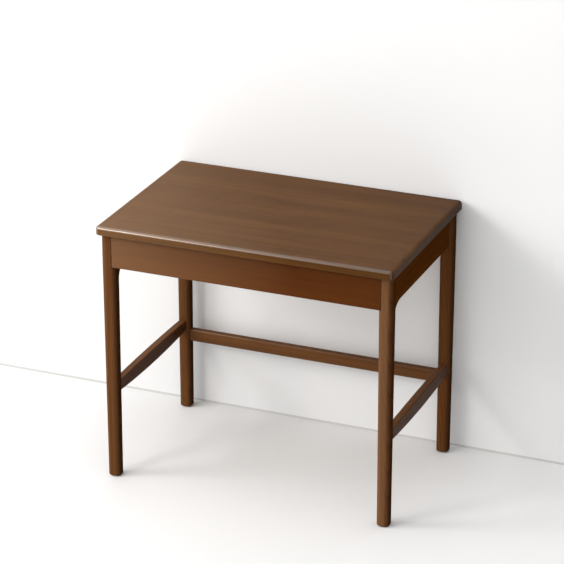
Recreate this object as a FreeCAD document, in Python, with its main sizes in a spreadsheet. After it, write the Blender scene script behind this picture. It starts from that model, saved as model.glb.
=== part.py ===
import FreeCAD, Part
import math
import os
import re
import Sketcher

# A small sewing table: a lipped top on four tapered legs, aprons and stretchers tenoned into
# the legs, and one full-width drawer between the front legs.
# Millimetres. The origin is on the floor under the middle of the top; +X is to the right of
# someone facing the drawer, +Y goes to the back and +Z up.

SIZES = {
    # the top
    "top_width": 812,
    "top_depth": 535,
    "top_height": 720,
    "top_thick": 25,
    "lipping_width": 14,
    "top_corner_round": 11,
    "top_edge_round": 10,
    "top_under_round": 4,
    "side_overhang": 7,
    "front_overhang": 17,
    # how far a cut runs out past the face it starts from
    "overcut": 1,
    # the legs
    "leg_top_width": 38,
    "leg_foot_width": 34,
    "leg_top_round": 14,
    "leg_foot_round": 12.5,
    "foot_chamfer": 2,
    "glide_radius": 11,
    "glide_height": 2.5,
    "glide_round": 1.5,
    # the aprons; "out" is how far a face stands outward of the leg's centre line, and a
    # "shoulder" is how far a joint's shoulder stands from it
    "apron_bottom": 604,
    "apron_thick": 20,
    "apron_edge_round": 2,
    "apron_shoulder": 16,
    "side_apron_out": 8,
    "back_apron_out": 17,
    "bracket_radius": 55,
    "bracket_tip": 6,
    "apron_tenon_thick": 10,
    "apron_tenon_length": 11,
    "apron_tenon_inset": 10,
    "tenon_end_gap": 1,
    # the stretchers
    "stretcher_thick": 20,
    "stretcher_round": 3,
    "stretcher_shoulder": 13.5,
    "stretcher_tenon_thick": 8,
    "stretcher_tenon_length": 8,
    "stretcher_tenon_inset": 4,
    "side_stretcher_top": 266,
    "side_stretcher_height": 30,
    "side_stretcher_out": 13,
    "stretcher_belly": 8,
    "stretcher_crown": 3,
    "housing_play": 0.5,
    "back_stretcher_top": 238,
    "back_stretcher_height": 34,
    # the rail above the drawer, the cleat behind it and the screws into the top
    "rail_thick": 14,
    "rail_width": 40,
    "rail_setback": 24,
    "rail_tenon_length": 8,
    "rail_tenon_width": 9,
    "rail_tenon_height": 9,
    "cleat_width": 20,
    "cleat_length": 680,
    "screw_radius": 2,
    "screw_play": 0.05,
    "screw_bite": 12,
    "screw_seat": 11,
    "screw_head_radius": 4,
    "screw_head_height": 2.5,
    "screw_slot": 1.2,
    "counterbore_radius": 4.3,
    "rail_screw_spread": 400,
    "kicker_screw_reach": 120,
    "cleat_screw_spread": 500,
    # the drawer
    "drawer_front_setback": 1,
    "drawer_front_thick": 20,
    "drawer_front_lap": 9,
    "drawer_front_gap": 0.8,
    "drawer_front_top_gap": 1.5,
    "drawer_front_round": 1.5,
    "drawer_side_play": 1.5,
    "drawer_side_thick": 12,
    "drawer_side_bottom": 624.3,
    "drawer_side_height": 55.7,
    "drawer_length": 435,
    "dovetail_depth": 10,
    "dovetail_neck": 8,
    "dovetail_flare": 2,
    "ply_thick": 5,
    "ply_groove_depth": 6,
    "ply_groove_play": 0.1,
    "ply_rise": 6.7,
    "drawer_back_height": 40,
    "pin_base": 8,
    "pin_end": 5,
    "pin_pitch": 14,
    "finger_grip_length": 120,
    "finger_grip_width": 12,
    "finger_grip_height": 14,
    "divider_thick": 7,
    "divider_height": 34,
    "divider_dado": 3,
    "divider_setback": 140,
    "cross_divider_spread": 240,
    # what the drawer runs on
    "runner_thick": 16,
    "runner_lip": 2,
    "runner_leg_gap": 0.5,
    "running_gap": 0.3,
    "guide_height": 20,
    "guide_gap": 0.5,
    "kicker_gap": 1,
    "runner_screw_reach": 140,
    "stop_width": 20,
    "stop_height": 20,
    "stop_spread": 600,
}

# Places that several pieces share, as formulas of the sizes.
LEG_X = "(top_width / 2 - side_overhang - leg_top_width / 2)"
LEG_Y = "(top_depth / 2 - front_overhang - leg_top_width / 2)"
UNDERSIDE = "(top_height - top_thick)"
APRON_HEIGHT = f"({UNDERSIDE} - apron_bottom)"
APRON_INNER_X = f"({LEG_X} + side_apron_out - apron_thick)"
BACK_APRON_INNER_Y = f"({LEG_Y} + back_apron_out - apron_thick)"
LEG_INNER_X = f"({LEG_X} - leg_top_width / 2)"
LEG_INNER_Y = f"({LEG_Y} - leg_top_width / 2)"
FRONT_FACE = f"(-{LEG_Y} - leg_top_width / 2 + drawer_front_setback)"
BEHIND_FRONT = f"({FRONT_FACE} + drawer_front_thick)"
DRAWER_END = f"({BEHIND_FRONT} + drawer_length)"
NOTCH_X = f"({LEG_INNER_X} + drawer_front_lap)"
FRONT_HALF = f"({NOTCH_X} - drawer_front_gap)"
DRAWER_HALF = f"({LEG_INNER_X} - drawer_side_play)"
DRAWER_INSIDE = f"({DRAWER_HALF} - drawer_side_thick)"
PLY_TOP = "(drawer_side_bottom + ply_rise + ply_thick)"
RUNNER_TOP = "(drawer_side_bottom - running_gap)"
RUNNER_INNER_X = f"({DRAWER_INSIDE} - runner_lip)"
RUNNER_LEG_X = f"({LEG_INNER_X} - runner_leg_gap)"
RUNNER_LEG_Y = f"({LEG_INNER_Y} - runner_leg_gap)"
KICKER_THICK = f"({UNDERSIDE} - drawer_side_bottom - drawer_side_height - kicker_gap)"
RAIL_FRONT = f"(-{LEG_Y} - leg_top_width / 2 + rail_setback)"
RAIL_BACK = f"({RAIL_FRONT} + rail_width)"
KICKER_X = f"(({RUNNER_INNER_X} + {RUNNER_LEG_X}) / 2)"
SCREW_SEAT_Z = f"({UNDERSIDE} - screw_seat)"
PIN_COUNT = 3
PIN_SPAN = f"({PIN_COUNT - 1} * pin_pitch)"
LEFT, RIGHT = -1, 1
FRONT, BACK = -1, 1
# An edge counts as lying at a level when it is this near to it.
NEAR = 0.1
# A curved outline is first drawn about this long and high; its constraints then size it.
DRAFT_LENGTH = 440
DRAFT_HEIGHT = 165

doc = FreeCAD.newDocument("sewing_table")
sheet = doc.addObject("Spreadsheet::Sheet", "dims")
for row, (alias, size) in enumerate(SIZES.items(), start=1):
    sheet.set(f"A{row}", alias)
    sheet.set(f"B{row}", str(size))
    sheet.setAlias(f"B{row}", alias)
doc.recompute()

nodes = []


def formula(text):
    """Write a formula of the sizes as an expression that reads the sheet."""
    return re.sub("[a-z][a-z_]+", lambda word: "dims." + word.group(), str(text))


def bind(thing, prop, text):
    thing.setExpression(prop, formula(text))


def place(thing, x=0, y=0, z=0):
    for axis, text in zip("xyz", (x, y, z)):
        bind(thing, "Placement.Base." + axis, text)


def node(thing, name):
    """Mark a document object as a finished piece that is written to its own file."""
    thing.Label = name
    nodes.append(thing)
    return thing


def new_body(name, x=0, y=0, z=0):
    body = doc.addObject("PartDesign::Body", name)
    place(body, x, y, z)
    return body


def origin_feature(body, role):
    return next(item for item in body.Origin.OriginFeatures if item.Role == role)


def new_sketch(body, name, plane, offset):
    sketch = body.newObject("Sketcher::SketchObject", name)
    sketch.AttachmentSupport = (origin_feature(body, plane), [""])
    sketch.MapMode = "FlatFace"
    for axis, text in zip("xyz", offset):
        bind(sketch, "AttachmentOffset.Base." + axis, text)
    return sketch


def constrain(sketch, *rule, name=None, value=None):
    """Add one constraint, and bind its value to a formula where it has one."""
    if name is None:
        return sketch.addConstraint(Sketcher.Constraint(*rule))
    index = sketch.addConstraint(Sketcher.Constraint(*rule))
    sketch.renameConstraint(index, name)
    bind(sketch, "Constraints." + name, value)
    return index


def pin_point(sketch, geometry, point, name, x, y):
    """Hold one point of a sketch at x, y from the sketch's origin."""
    constrain(sketch, "DistanceX", -1, 1, geometry, point, 1.0, name=name + "_x", value=x)
    constrain(sketch, "DistanceY", -1, 1, geometry, point, 1.0, name=name + "_y", value=y)


def polygon(body, name, plane, offset, points):
    """A closed outline of straight lines through the given points."""
    sketch = new_sketch(body, name, plane, offset)
    count = len(points)
    ring = [
        FreeCAD.Vector(math.cos(2 * math.pi * step / count), math.sin(2 * math.pi * step / count), 0)
        for step in range(count)
    ]
    for step in range(count):
        sketch.addGeometry(Part.LineSegment(ring[step], ring[(step + 1) % count]))
    for step in range(count):
        constrain(sketch, "Coincident", step, 2, (step + 1) % count, 1)
    for step, (x, y) in enumerate(points):
        pin_point(sketch, step, 1, "corner" + chr(ord("a") + step), x, y)
    return sketch


def rectangle(body, name, plane, offset, width, depth):
    corners = ((0, 0), (width, 0), (width, depth), (0, depth))
    return polygon(body, name, plane, offset, corners)


def circle(body, name, plane, offset, radius):
    sketch = new_sketch(body, name, plane, offset)
    sketch.addGeometry(Part.Circle(FreeCAD.Vector(0, 0, 0), FreeCAD.Vector(0, 0, 1), 1.0))
    constrain(sketch, "Coincident", 0, 3, -1, 1)
    constrain(sketch, "Radius", 0, 1.0, name="radius", value=radius)
    return sketch


def pad(body, name, sketch, length):
    """Raise a sketch along its plane's normal."""
    feature = body.newObject("PartDesign::Pad", name)
    feature.Profile = sketch
    bind(feature, "Length", length)
    doc.recompute()
    return feature


def pocket(body, name, sketch, length):
    """Cut a sketch into the body along its plane's normal, and make sure that it cuts."""
    before = body.Shape.Volume
    feature = body.newObject("PartDesign::Pocket", name)
    feature.Profile = sketch
    feature.Reversed = True
    bind(feature, "Length", length)
    doc.recompute()
    if body.Shape.Volume >= before:
        raise RuntimeError(f"{body.Name}: {name} removes nothing")
    return feature


def repeat(body, name, feature, axis, length, count):
    """Repeat a feature along one of the body's axes over a length."""
    pattern = body.newObject("PartDesign::LinearPattern", name)
    pattern.Originals = [feature]
    pattern.Direction = (origin_feature(body, axis), [""])
    bind(pattern, "Length", length)
    pattern.Occurrences = count
    body.Tip = pattern
    doc.recompute()
    return pattern


def add_box(body, name, corner, size):
    """Add a block, given its lowest corner and its size as formulas."""
    sketch = rectangle(body, name + "_outline", "XY_Plane", corner, size[0], size[1])
    return pad(body, name, sketch, size[2])


def cut_box(body, name, corner, size):
    """Cut a block out, given its lowest corner and its size as formulas."""
    sketch = rectangle(body, name + "_outline", "XY_Plane", corner, size[0], size[1])
    return pocket(body, name, sketch, size[2])


def drill(body, name, plane, offset, radius, depth):
    return pocket(body, name, circle(body, name + "_circle", plane, offset, radius), depth)


def edges(feature, wanted):
    """Names of a feature's edges that pass a test."""
    return [f"Edge{index}" for index, edge in enumerate(feature.Shape.Edges, start=1) if wanted(edge)]


def soften(body, name, feature, radius, wanted):
    """Round the edges that pass a test."""
    rounded = body.newObject("PartDesign::Fillet", name)
    rounded.Base = (feature, edges(feature, wanted))
    bind(rounded, "Radius", radius)
    doc.recompute()
    return rounded


def long_edges(shortest):
    """A test for edges at least this long, which leaves out those around a board's ends."""
    return lambda edge: edge.Length > shortest


def across(side, low, high):
    """Lowest corner and size of a span given outward from the middle, on one side of it."""
    corner = low if side > 0 else f"-({high})"
    return corner, f"({high}) - ({low})"


def side_name(side):
    return "left" if side < 0 else "right"


# ---------------------------------------------------------------- the top

def make_slab():
    """The whole top's outer shape: the panel and its lippings are cut from it."""
    slab = new_body("top_slab", "-top_width / 2", "-top_depth / 2", UNDERSIDE)
    block = add_box(slab, "slab_block", (0, 0, 0), ("top_width", "top_depth", "top_thick"))
    thick = SIZES["top_thick"]
    corners = soften(slab, "slab_corners", block, "top_corner_round",
                     lambda edge: abs(edge.BoundBox.ZLength - thick) < NEAR)
    upper = soften(slab, "slab_upper_edge", corners, "top_edge_round",
                   lambda edge: edge.BoundBox.ZMin > thick - NEAR)
    soften(slab, "slab_lower_edge", upper, "top_under_round",
           lambda edge: edge.BoundBox.ZMax < NEAR)
    return slab


def screw_rows():
    """The screws into the top: half the spread along X and the place along Y of each pair."""
    return (
        ("rail", "rail_screw_spread / 2", f"({RAIL_FRONT} + rail_width / 2)"),
        ("kicker_front", KICKER_X, "-kicker_screw_reach"),
        ("kicker_back", KICKER_X, "kicker_screw_reach"),
        ("cleat", "cleat_screw_spread / 2", f"({BACK_APRON_INNER_Y} - cleat_width / 2)"),
    )


def top_piece(name, slab, zone):
    piece = doc.addObject("Part::Common", name)
    piece.Base = slab
    piece.Tool = zone
    doc.recompute()
    return node(piece, name)


def make_top():
    slab = make_slab()
    half_x, half_y = "top_width / 2", "top_depth / 2"
    in_x, in_y = f"({half_x} - lipping_width)", f"({half_y} - lipping_width)"
    zone = new_body("panel_zone", z=UNDERSIDE)
    add_box(zone, "panel_block", (f"-{in_x}", f"-{in_y}", 0), (f"2 * {in_x}", f"2 * {in_y}", "top_thick"))
    for row, x, y in screw_rows():
        pilot = drill(zone, row + "_pilot", "XY_Plane", (f"-({x})", y, 0),
                      "screw_radius + screw_play", "screw_bite + tenon_end_gap")
        repeat(zone, row + "_pilots", pilot, "X_Axis", f"2 * ({x})", 2)
    top_piece("top_panel", slab, zone)
    lippings = {
        "lipping_front": (("-", "-"), ("", "-")),
        "lipping_right": (("", "-"), ("", "")),
        "lipping_back": (("", ""), ("-", "")),
        "lipping_left": (("-", ""), ("-", "-")),
    }
    for name, (start, end) in lippings.items():
        mitre = [(start[0] + half_x, start[1] + half_y), (end[0] + half_x, end[1] + half_y),
                 (end[0] + in_x, end[1] + in_y), (start[0] + in_x, start[1] + in_y)]
        strip = new_body(name + "_zone", z=UNDERSIDE)
        pad(strip, name + "_block", polygon(strip, name + "_mitre", "XY_Plane", (0, 0, 0), mitre),
            "top_thick")
        top_piece(name, slab, strip)


# ---------------------------------------------------------------- the legs

def rounded_square(body, name, level, width, rounding):
    """A square section about the body's axis, with every corner rounded."""
    sketch = new_sketch(body, name, "XY_Plane", (0, 0, level))
    half, radius = SIZES[width] / 2, SIZES[rounding]
    flat = half - radius
    up = FreeCAD.Vector(0, 0, 1)
    for turn in range(4):
        spin = FreeCAD.Rotation(up, 90 * turn)
        start = spin.multVec(FreeCAD.Vector(-flat, -half, 0))
        end = spin.multVec(FreeCAD.Vector(flat, -half, 0))
        sketch.addGeometry(Part.LineSegment(start, end))
    for turn in range(4):
        centre = FreeCAD.Rotation(up, 90 * turn).multVec(FreeCAD.Vector(flat, -flat, 0))
        begin = math.pi / 2 * (turn - 1)
        sketch.addGeometry(Part.ArcOfCircle(Part.Circle(centre, up, radius), begin, begin + math.pi / 2))
    for turn in range(4):
        constrain(sketch, "Tangent", turn, 2, 4 + turn, 1)
        constrain(sketch, "Tangent", 4 + turn, 2, (turn + 1) % 4, 1)
        constrain(sketch, "Vertical" if turn % 2 else "Horizontal", turn)
    for turn in range(3):
        constrain(sketch, "Equal", 4 + turn, 5 + turn)
    constrain(sketch, "Radius", 4, radius, name="rounding", value=rounding)
    constrain(sketch, "Symmetric", 4, 3, 6, 3, -1, 1)
    constrain(sketch, "DistanceX", 7, 3, 4, 3, 2 * flat, name="flat_x", value=f"{width} - 2 * {rounding}")
    constrain(sketch, "DistanceY", 4, 3, 5, 3, 2 * flat, name="flat_y", value=f"{width} - 2 * {rounding}")
    return sketch


def leg_cut(leg, name, side, end, outward, along, height):
    """Cut a block from a leg; the spans run outward from its axis to the side and to its end."""
    x, width = across(side, *outward)
    y, depth = across(end, *along)
    low, high = height
    cut_box(leg, name, (x, y, low), (width, depth, f"({high}) - ({low})"))


def mortise(shoulder, length):
    """The span of a mortise below its shoulder, which the leg's other joint doesn't reach."""
    return f"-({shoulder})", f"-({shoulder} - {length} - tenon_end_gap)"


def make_leg(side, end):
    name = f"leg_{'front' if end < 0 else 'back'}_{side_name(side)}"
    leg = new_body(name, f"{side} * {LEG_X}", f"{end} * {LEG_Y}")
    foot = rounded_square(leg, name + "_foot", "glide_height", "leg_foot_width", "leg_foot_round")
    head = rounded_square(leg, name + "_head", "apron_bottom", "leg_top_width", "leg_top_round")
    shaft = leg.newObject("PartDesign::AdditiveLoft", name + "_shaft")
    shaft.Profile = foot
    shaft.Sections = [head]
    shaft.Ruled = True
    doc.recompute()
    block = pad(leg, name + "_block", head, APRON_HEIGHT)
    chamfer = leg.newObject("PartDesign::Chamfer", name + "_foot_chamfer")
    floor_line = SIZES["glide_height"] + NEAR
    chamfer.Base = (block, edges(block, lambda edge: edge.BoundBox.ZMax < floor_line))
    bind(chamfer, "Size", "foot_chamfer")
    doc.recompute()

    outside = "-leg_top_width"
    top = f"({UNDERSIDE} + overcut)"
    side_span = ("side_apron_out - apron_thick", "side_apron_out")
    middle = "side_apron_out - apron_thick / 2"
    tenon = (f"{middle} - apron_tenon_thick / 2", f"{middle} + apron_tenon_thick / 2")
    tenon_z = ("apron_bottom + apron_tenon_inset", f"{UNDERSIDE} - apron_tenon_inset")
    housing_low = "apron_bottom - bracket_radius" if end < 0 else "apron_bottom"
    shoulder = (outside, "-apron_shoulder")
    leg_cut(leg, "side_apron_housing", side, end, side_span, shoulder, (housing_low, top))
    leg_cut(leg, "side_apron_mortise", side, end, tenon,
            mortise("apron_shoulder", "apron_tenon_length"), tenon_z)

    bar = ("side_stretcher_out - stretcher_thick", "side_stretcher_out")
    middle = "side_stretcher_out - stretcher_thick / 2"
    tenon = (f"{middle} - stretcher_tenon_thick / 2", f"{middle} + stretcher_tenon_thick / 2")
    low = "(side_stretcher_top - side_stretcher_height)"
    leg_cut(leg, "side_stretcher_housing", side, end, bar, (outside, "-stretcher_shoulder"),
            (f"{low} - housing_play", "side_stretcher_top + housing_play"))
    leg_cut(leg, "side_stretcher_mortise", side, end, tenon,
            mortise("stretcher_shoulder", "stretcher_tenon_length"),
            (f"{low} + stretcher_tenon_inset", "side_stretcher_top - stretcher_tenon_inset"))
    if end < 0:
        cut_for_drawer(leg, side, outside, top)
    else:
        cut_for_back(leg, side, outside, top, tenon_z)
    node(leg, name)


def cut_for_drawer(leg, side, outside, top):
    """The front leg's notch for the drawer front, and the joint of the rail above the drawer."""
    lap = "-(leg_top_width / 2 - drawer_front_lap)"
    notch_depth = "leg_top_width / 2 - drawer_front_setback - drawer_front_thick - tenon_end_gap"
    leg_cut(leg, "drawer_front_notch", side, FRONT, (outside, lap), (notch_depth, "leg_top_width"),
            ("apron_bottom - drawer_front_top_gap", top))
    rail_front = "(leg_top_width / 2 - rail_setback)"
    rail_low = f"{UNDERSIDE} - rail_thick"
    leg_cut(leg, "rail_housing", side, FRONT, (outside, "-apron_shoulder"),
            (f"{rail_front} - rail_width", rail_front), (rail_low, top))
    margin = "(rail_thick - rail_tenon_height) / 2"
    leg_cut(leg, "rail_mortise", side, FRONT,
            ("-apron_shoulder", "-(apron_shoulder - rail_tenon_length)"),
            (f"{rail_front} - tenon_end_gap - rail_tenon_width", f"{rail_front} - tenon_end_gap"),
            (f"{rail_low} + {margin}", f"{UNDERSIDE} - {margin}"))


def cut_for_back(leg, side, outside, top, tenon_z):
    """The back leg's joints with the back apron and the back stretcher."""
    span = ("back_apron_out - apron_thick", "back_apron_out")
    middle = "back_apron_out - apron_thick / 2"
    tenon = (f"{middle} - apron_tenon_thick / 2", f"{middle} + apron_tenon_thick / 2")
    leg_cut(leg, "back_apron_housing", side, BACK, (outside, "-apron_shoulder"), span,
            ("apron_bottom", top))
    leg_cut(leg, "back_apron_mortise", side, BACK, mortise("apron_shoulder", "apron_tenon_length"),
            tenon, tenon_z)
    low = "(back_stretcher_top - back_stretcher_height)"
    leg_cut(leg, "back_stretcher_housing", side, BACK, (outside, "-stretcher_shoulder"),
            ("-stretcher_thick / 2", "stretcher_thick / 2"), (low, "back_stretcher_top"))
    leg_cut(leg, "back_stretcher_mortise", side, BACK,
            mortise("stretcher_shoulder", "stretcher_tenon_length"),
            ("-stretcher_tenon_thick / 2", "stretcher_tenon_thick / 2"),
            (f"{low} + stretcher_tenon_inset", "back_stretcher_top - stretcher_tenon_inset"))


def make_glide(side, end):
    name = f"glide_{'front' if end < 0 else 'back'}_{side_name(side)}"
    glide = new_body(name, f"{side} * {LEG_X}", f"{end} * {LEG_Y}")
    disc = pad(glide, name + "_disc", circle(glide, name + "_circle", "XY_Plane", (0, 0, 0), "glide_radius"),
               "glide_height")
    soften(glide, name + "_rounding", disc, "glide_round", lambda edge: edge.BoundBox.ZMax < NEAR)
    node(glide, name)


# ---------------------------------------------------------------- aprons and stretchers

def bracket_outline(apron, name, length):
    """A side apron seen from the side: a board whose front end sweeps down in a quarter circle."""
    sketch = new_sketch(apron, name, "YZ_Plane", (0, 0, 0))
    radius, tip = SIZES["bracket_radius"], SIZES["bracket_tip"]
    far, high = DRAFT_LENGTH, DRAFT_HEIGHT
    corners = [(0, 0), (tip, 0), (tip + radius, radius), (far, radius), (far, high), (0, high)]
    points = [FreeCAD.Vector(x, y, 0) for x, y in corners]
    lines = ((0, 1), (2, 3), (3, 4), (4, 5), (5, 0))
    for start, end in lines:
        sketch.addGeometry(Part.LineSegment(points[start], points[end]))
    middle = FreeCAD.Vector(tip + radius, 0, 0)
    sweep = Part.Circle(middle, FreeCAD.Vector(0, 0, 1), radius)
    sketch.addGeometry(Part.ArcOfCircle(sweep, math.pi / 2, math.pi))
    under, below, back, upper, front, arc = range(6)
    constrain(sketch, "Coincident", front, 2, -1, 1)
    constrain(sketch, "Coincident", under, 1, -1, 1)
    constrain(sketch, "Coincident", below, 2, back, 1)
    constrain(sketch, "Coincident", back, 2, upper, 1)
    constrain(sketch, "Coincident", upper, 2, front, 1)
    constrain(sketch, "Coincident", under, 2, arc, 2)
    constrain(sketch, "Tangent", arc, 1, below, 1)
    constrain(sketch, "Horizontal", under)
    constrain(sketch, "Horizontal", below)
    constrain(sketch, "Horizontal", upper)
    constrain(sketch, "Vertical", back)
    constrain(sketch, "Vertical", front)
    constrain(sketch, "PointOnObject", arc, 3, -1)
    constrain(sketch, "Radius", arc, radius, name="sweep", value="bracket_radius")
    constrain(sketch, "DistanceX", -1, 1, under, 2, tip, name="tip", value="bracket_tip")
    constrain(sketch, "DistanceX", -1, 1, back, 2, far, name="reach", value=length)
    constrain(sketch, "DistanceY", -1, 1, back, 2, high, name="rise",
              value=f"bracket_radius + {APRON_HEIGHT}")
    return sketch


def make_side_apron(side):
    """A side apron, from shoulder to shoulder, with a tenon at each end."""
    name = "side_apron_" + side_name(side)
    length = f"2 * ({LEG_Y} - apron_shoulder)"
    inner = APRON_INNER_X if side > 0 else f"-({LEG_X} + side_apron_out)"
    apron = new_body(name, inner, f"-({LEG_Y} - apron_shoulder)", "apron_bottom - bracket_radius")
    board = pad(apron, name + "_board", bracket_outline(apron, name + "_outline", length), "apron_thick")
    radius = SIZES["bracket_radius"]
    soften(apron, name + "_arris", board, "apron_edge_round",
           lambda edge: edge.Length > radius and edge.BoundBox.ZMax < radius + NEAR)
    add_box(apron, name + "_tenons",
            ("(apron_thick - apron_tenon_thick) / 2", "-apron_tenon_length",
             "bracket_radius + apron_tenon_inset"),
            ("apron_tenon_thick", f"{length} + 2 * apron_tenon_length",
             f"{APRON_HEIGHT} - 2 * apron_tenon_inset"))
    drill_runner_pilots(apron, side)
    node(apron, name)


def drill_runner_pilots(apron, side):
    """Pilot holes for the runner's screws, from the apron's inner face."""
    start = 0 if side > 0 else "apron_thick - screw_bite - tenon_end_gap"
    height = f"{RUNNER_TOP} - runner_thick / 2 - apron_bottom + bracket_radius"
    pilot = drill(apron, "runner_pilot", "YZ_Plane",
                  (f"{LEG_Y} - apron_shoulder - runner_screw_reach", height, start),
                  "screw_radius + screw_play", "screw_bite + tenon_end_gap")
    repeat(apron, "runner_pilots", pilot, "Y_Axis", "2 * runner_screw_reach", 2)


def make_back_apron():
    name = "back_apron"
    length = f"2 * ({LEG_X} - apron_shoulder)"
    apron = new_body(name, f"-({LEG_X} - apron_shoulder)", BACK_APRON_INNER_Y, "apron_bottom")
    board = add_box(apron, name + "_board", (0, 0, 0), (length, "apron_thick", APRON_HEIGHT))
    soften(apron, name + "_arris", board, "apron_edge_round",
           lambda edge: edge.Length > SIZES["top_depth"] and edge.BoundBox.ZMax < NEAR)
    add_box(apron, name + "_tenons",
            ("-apron_tenon_length", "(apron_thick - apron_tenon_thick) / 2", "apron_tenon_inset"),
            (f"{length} + 2 * apron_tenon_length", "apron_tenon_thick",
             f"{APRON_HEIGHT} - 2 * apron_tenon_inset"))
    node(apron, name)


def bellied_outline(stretcher, name, length):
    """A side stretcher seen from the side: the lower edge bellies down, the upper crowns a little."""
    sketch = new_sketch(stretcher, name, "YZ_Plane", (0, 0, 0))
    far, high = DRAFT_LENGTH, SIZES["side_stretcher_height"]
    belly, crown = SIZES["stretcher_belly"], SIZES["stretcher_crown"]
    corners = [FreeCAD.Vector(x, y, 0) for x, y in ((0, 0), (far, 0), (far, high), (0, high))]
    sketch.addGeometry(Part.LineSegment(corners[1], corners[2]))
    sketch.addGeometry(Part.LineSegment(corners[3], corners[0]))
    sketch.addGeometry(Part.Arc(corners[0], FreeCAD.Vector(far / 2, -belly, 0), corners[1]))
    sketch.addGeometry(Part.Arc(corners[2], FreeCAD.Vector(far / 2, high + crown, 0), corners[3]))
    back, front, lower, upper = range(4)
    for line, arc, start in ((back, lower, corners[1]), (front, upper, corners[3])):
        ends = (sketch.Geometry[arc].StartPoint, sketch.Geometry[arc].EndPoint)
        point = 1 if (ends[0] - start).Length < (ends[1] - start).Length else 2
        constrain(sketch, "Coincident", line, 1, arc, point)
        constrain(sketch, "Coincident", (front if line == back else back), 2, arc, 3 - point)
    constrain(sketch, "Vertical", back)
    constrain(sketch, "Vertical", front)
    constrain(sketch, "Coincident", front, 2, -1, 1)
    constrain(sketch, "DistanceX", -1, 1, back, 1, far, name="span", value=length)
    constrain(sketch, "DistanceY", -1, 1, front, 1, high, name="height", value="side_stretcher_height")
    constrain(sketch, "Horizontal", back, 1, front, 2)
    constrain(sketch, "Horizontal", back, 2, front, 1)
    for arc, sag, name in ((lower, "stretcher_belly", "lower"), (upper, "stretcher_crown", "upper")):
        curve = f"(({length}) * ({length}) / 4 + {sag} * {sag}) / (2 * {sag})"
        radius = sketch.Geometry[arc].Radius
        constrain(sketch, "Radius", arc, radius, name=name + "_radius", value=curve)
    return sketch


def make_side_stretcher(side):
    name = "side_stretcher_" + side_name(side)
    length = f"2 * ({LEG_Y} - stretcher_shoulder)"
    inner = (f"{LEG_X} + side_stretcher_out - stretcher_thick" if side > 0
             else f"-({LEG_X} + side_stretcher_out)")
    bar = new_body(name, inner, f"-({LEG_Y} - stretcher_shoulder)",
                   "side_stretcher_top - side_stretcher_height")
    board = pad(bar, name + "_board", bellied_outline(bar, name + "_outline", length), "stretcher_thick")
    soften(bar, name + "_arris", board, "stretcher_round", long_edges(SIZES["top_depth"] / 2))
    add_box(bar, name + "_tenons",
            ("(stretcher_thick - stretcher_tenon_thick) / 2", "-stretcher_tenon_length",
             "stretcher_tenon_inset"),
            ("stretcher_tenon_thick", f"{length} + 2 * stretcher_tenon_length",
             "side_stretcher_height - 2 * stretcher_tenon_inset"))
    node(bar, name)


def make_back_stretcher():
    name = "back_stretcher"
    length = f"2 * ({LEG_X} - stretcher_shoulder)"
    bar = new_body(name, f"-({LEG_X} - stretcher_shoulder)", f"{LEG_Y} - stretcher_thick / 2",
                   "back_stretcher_top - back_stretcher_height")
    board = add_box(bar, name + "_board", (0, 0, 0), (length, "stretcher_thick", "back_stretcher_height"))
    soften(bar, name + "_arris", board, "stretcher_round", long_edges(SIZES["top_depth"]))
    add_box(bar, name + "_tenons",
            ("-stretcher_tenon_length", "(stretcher_thick - stretcher_tenon_thick) / 2",
             "stretcher_tenon_inset"),
            (f"{length} + 2 * stretcher_tenon_length", "stretcher_tenon_thick",
             "back_stretcher_height - 2 * stretcher_tenon_inset"))
    node(bar, name)


# ---------------------------------------------------------------- rails, runners and screws

def screw_hole(piece, name, x, y, bottom):
    """A clearance hole and a counterbore from below, for a screw into the top."""
    drill(piece, name + "_shank", "XY_Plane", (x, y, 0), "screw_radius + screw_play",
          f"{UNDERSIDE} - ({bottom})")
    drill(piece, name + "_counterbore", "XY_Plane", (x, y, 0), "counterbore_radius",
          f"{SCREW_SEAT_Z} - ({bottom})")


def make_front_rail():
    """The rail over the drawer, behind the drawer front, tenoned into the front legs."""
    name = "front_top_rail"
    half = f"({LEG_X} - apron_shoulder)"
    bottom = f"{UNDERSIDE} - rail_thick"
    rail = new_body(name, 0, RAIL_FRONT, bottom)
    add_box(rail, name + "_board", (f"-{half}", 0, 0), (f"2 * {half}", "rail_width", "rail_thick"))
    add_box(rail, name + "_tenons",
            (f"-{half} - rail_tenon_length", "tenon_end_gap", "(rail_thick - rail_tenon_height) / 2"),
            (f"2 * {half} + 2 * rail_tenon_length", "rail_tenon_width", "rail_tenon_height"))
    for side in (LEFT, RIGHT):
        screw_hole(rail, "screw_" + side_name(side), f"{side} * rail_screw_spread / 2",
                   "rail_width / 2", bottom)
    node(rail, name)


def make_back_cleat():
    """The cleat glued inside the back apron, which holds the back of the top down."""
    name = "back_cleat"
    bottom = f"{UNDERSIDE} - cleat_width"
    cleat = new_body(name, 0, f"{BACK_APRON_INNER_Y} - cleat_width", bottom)
    add_box(cleat, name + "_strip", ("-cleat_length / 2", 0, 0), ("cleat_length", "cleat_width", "cleat_width"))
    for side in (LEFT, RIGHT):
        screw_hole(cleat, "screw_" + side_name(side), f"{side} * cleat_screw_spread / 2",
                   "cleat_width / 2", bottom)
    node(cleat, name)


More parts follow.
